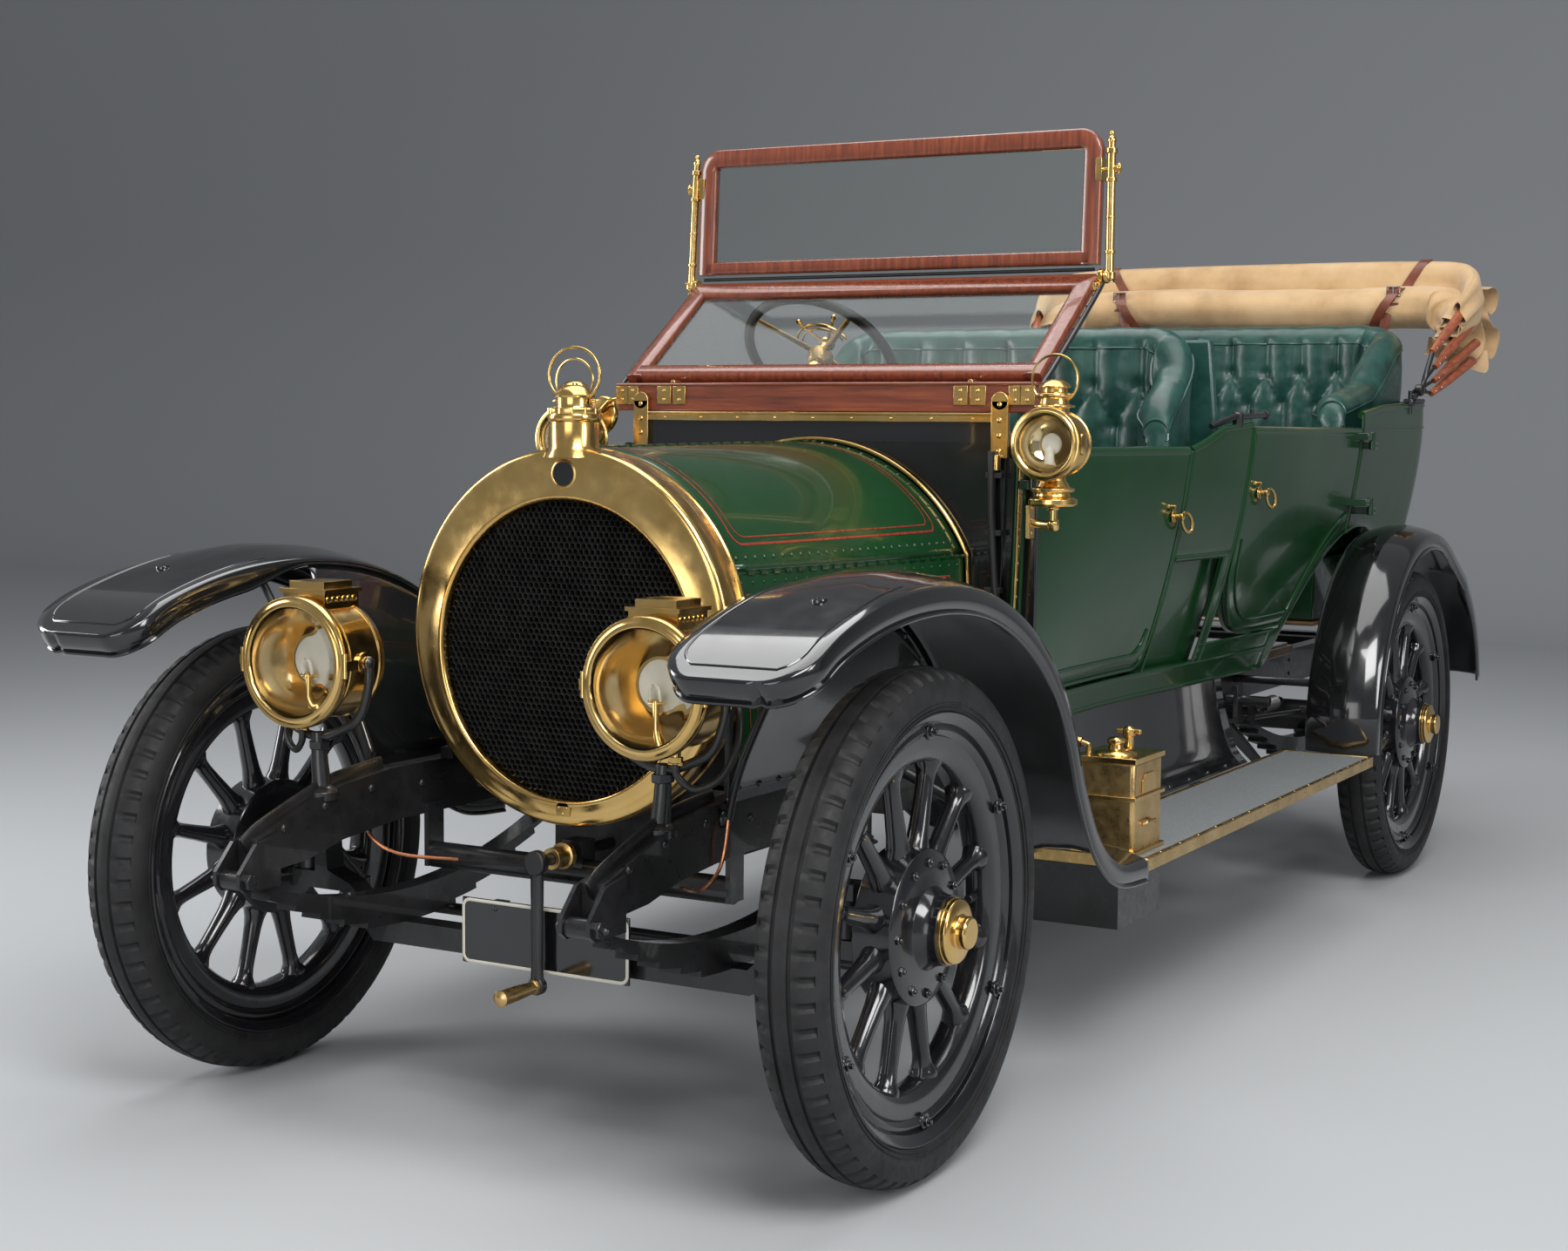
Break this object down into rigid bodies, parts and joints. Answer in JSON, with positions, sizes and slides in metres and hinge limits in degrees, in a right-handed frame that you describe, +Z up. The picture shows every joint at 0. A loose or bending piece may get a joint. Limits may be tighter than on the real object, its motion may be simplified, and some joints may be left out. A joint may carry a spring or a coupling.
{
  "type": "open four-seat touring car of the brass era",
  "caption": "Open tourer with a round brass radiator, folding windscreen, opening doors and bonnet, wood-spoked wheels and a folded canvas hood.",
  "frame": {"origin": "on the ground under the middle of the car's bounding box", "axes": "+X to the car's left, +Y to its rear, +Z up"},
  "size_m": [1.665, 4.6505, 1.9332],
  "materials": {
    "body_green": "deep gloss coach paint with twin thin red lines",
    "wing_black": "deep gloss black coach paint",
    "chassis_black": "semi-gloss black paint",
    "wheel_black": "gloss black paint over wood",
    "polished_brass": "polished, slightly tarnished",
    "core_metal": "dark honeycomb",
    "mahogany": "varnished, fine straight grain",
    "floor_wood": "oiled boards",
    "ash_wood": "varnished bent wood",
    "clear_glass": "clear plate glass",
    "grey_lino": "ribbed grey linoleum with brass edging",
    "plate_black": "black with a pale border, blank",
    "green_leather": "buttoned hide",
    "tan_canvas": "duck canvas",
    "grey_iron": "cast",
    "bright_steel": "worn bright",
    "black_rim": "black rim on brass spokes",
    "tyre_rubber": "black rubber with moulded blocks"
  },
  "bodies": {
    "chassis": {"chassis_frame": "chassis_black", "front_axle": "chassis_black", "front_springs": "chassis_black", "rear_springs": "chassis_black", "rear_axle": "chassis_black", "engine_and_gearbox": "grey_iron", "exhaust": "grey_iron", "radiator": "polished_brass", "radiator_core": "core_metal", "filler_cap": "polished_brass", "dashboard": "mahogany", "screen_lower_frame": "mahogany", "screen_lower_glass": "clear_glass", "driving_mirror": "polished_brass", "front_wings": "wing_black", "rear_wings": "wing_black", "running_boards": "grey_lino", "side_aprons": "wing_black", "headlamps": "polished_brass", "side_lamps": "polished_brass", "lamp_glasses": "clear_glass", "number_plate": "plate_black", "gas_generator": "polished_brass", "battery_box": "chassis_black", "floor": "floor_wood", "body_sides": "body_green", "rear_tub": "body_green", "seat_base": "green_leather", "seat_cushions": "green_leather", "seat_backs": "green_leather", "hood_bundle": "tan_canvas", "hood_sticks": "ash_wood", "steering_column": "polished_brass", "hand_levers": "polished_brass"},
    "bonnet_left": {"bonnet_left": "body_green"},
    "bonnet_right": {"bonnet_right": "body_green"},
    "bonnet_side_left": {"bonnet_side_left": "body_green"},
    "bonnet_side_right": {"bonnet_side_right": "body_green"},
    "door_front_left": {"door_front_left": "body_green"},
    "door_front_right": {"door_front_right": "body_green"},
    "door_rear_left": {"door_rear_left": "body_green"},
    "door_rear_right": {"door_rear_right": "body_green"},
    "steering_wheel": {"steering_wheel": "black_rim"},
    "knuckle_left": {"knuckle_left": "chassis_black"},
    "knuckle_right": {"knuckle_right": "chassis_black"},
    "tie_rod": {"tie_rod": "chassis_black"},
    "starting_handle": {"starting_handle": "bright_steel"},
    "upper_screen": {"screen_upper_frame": "mahogany", "screen_upper_glass": "clear_glass"},
    "wheel_front_left": {"wheel_front_left": "wheel_black", "tyre_front_left": "tyre_rubber"},
    "wheel_front_right": {"wheel_front_right": "wheel_black", "tyre_front_right": "tyre_rubber"},
    "wheel_rear_left": {"wheel_rear_left": "wheel_black", "tyre_rear_left": "tyre_rubber"},
    "wheel_rear_right": {"wheel_rear_right": "wheel_black", "tyre_rear_right": "tyre_rubber"}
  },
  "joints": [
    {"name": "steer_left", "type": "hinge", "parent": "chassis", "child": "knuckle_left", "pos_m": [0.6, -1.78, 0.44], "axis": [0, 0, 1], "range_deg": [-30, 30]},
    {"name": "steer_right", "type": "hinge", "parent": "chassis", "child": "knuckle_right", "pos_m": [-0.6, -1.78, 0.44], "axis": [0, 0, 1], "range_deg": [-30, 30]},
    {"name": "tie_rod_pin", "type": "hinge", "parent": "knuckle_left", "child": "tie_rod", "pos_m": [0.6, -1.62, 0.318], "axis": [0, 0, 1], "range_deg": [-30, 30]},
    {"name": "steering_turn", "type": "hinge", "parent": "chassis", "child": "steering_wheel", "pos_m": [-0.29, -0.26, 1.447], "axis": [0, 0.7071, 0.7071], "range_deg": [-270, 270]},
    {"name": "bonnet_left_lift", "type": "hinge", "parent": "chassis", "child": "bonnet_left", "pos_m": [0, -1.25785, 1.241], "axis": [0, -1, -0.0093], "range_deg": [0, 60]},
    {"name": "bonnet_right_lift", "type": "hinge", "parent": "chassis", "child": "bonnet_right", "pos_m": [0, -1.25785, 1.241], "axis": [0, 1, 0.0093], "range_deg": [0, 60]},
    {"name": "bonnet_side_left_fold", "type": "hinge", "parent": "bonnet_left", "child": "bonnet_side_left", "pos_m": [0.333, -1.25785, 1.00975], "axis": [-0.0627, -0.998, 0.0046], "range_deg": [-66, 0]},
    {"name": "bonnet_side_right_fold", "type": "hinge", "parent": "bonnet_right", "child": "bonnet_side_right", "pos_m": [-0.333, -1.25785, 1.00975], "axis": [-0.0627, 0.998, -0.0046], "range_deg": [-66, 0]},
    {"name": "door_front_left_hinge", "type": "hinge", "parent": "chassis", "child": "door_front_left", "pos_m": [0.516, -0.823, 0.96], "axis": [0, 0, -1], "range_deg": [0, 70]},
    {"name": "door_front_right_hinge", "type": "hinge", "parent": "chassis", "child": "door_front_right", "pos_m": [-0.516, -0.823, 0.96], "axis": [0, 0, 1], "range_deg": [0, 70]},
    {"name": "door_rear_left_hinge", "type": "hinge", "parent": "chassis", "child": "door_rear_left", "pos_m": [0.656, 1.268, 1.12], "axis": [0, 0, 1], "range_deg": [0, 60]},
    {"name": "door_rear_right_hinge", "type": "hinge", "parent": "chassis", "child": "door_rear_right", "pos_m": [-0.656, 1.268, 1.12], "axis": [0, 0, -1], "range_deg": [0, 60]},
    {"name": "screen_fold", "type": "hinge", "parent": "chassis", "child": "upper_screen", "pos_m": [0, -0.464, 1.61], "axis": [1, 0, 0], "range_deg": [0, 65]},
    {"name": "starting_handle_turn", "type": "hinge", "parent": "chassis", "child": "starting_handle", "pos_m": [0, -1.844, 0.486], "axis": [0, 1, 0], "continuous": true},
    {"name": "wheel_front_left_spin", "type": "hinge", "parent": "knuckle_left", "child": "wheel_front_left", "pos_m": [0.7115, -1.78, 0.44], "axis": [1, 0, 0], "continuous": true},
    {"name": "wheel_front_right_spin", "type": "hinge", "parent": "knuckle_right", "child": "wheel_front_right", "pos_m": [-0.7115, -1.78, 0.44], "axis": [1, 0, 0], "continuous": true},
    {"name": "wheel_rear_left_spin", "type": "hinge", "parent": "chassis", "child": "wheel_rear_left", "pos_m": [0.7115, 1.408, 0.44], "axis": [1, 0, 0], "continuous": true},
    {"name": "wheel_rear_right_spin", "type": "hinge", "parent": "chassis", "child": "wheel_rear_right", "pos_m": [-0.7115, 1.408, 0.44], "axis": [1, 0, 0], "continuous": true}
  ],
  "couplings": [
    {"joint": "steer_right", "follows": "steer_left", "ratio": 1},
    {"joint": "tie_rod_pin", "follows": "steer_left", "ratio": -1},
    {"joint": "steering_turn", "follows": "steer_left", "ratio": 9},
    {"joint": "bonnet_side_left_fold", "follows": "bonnet_left_lift", "ratio": -1.1},
    {"joint": "bonnet_side_right_fold", "follows": "bonnet_right_lift", "ratio": -1.1}
  ]
}
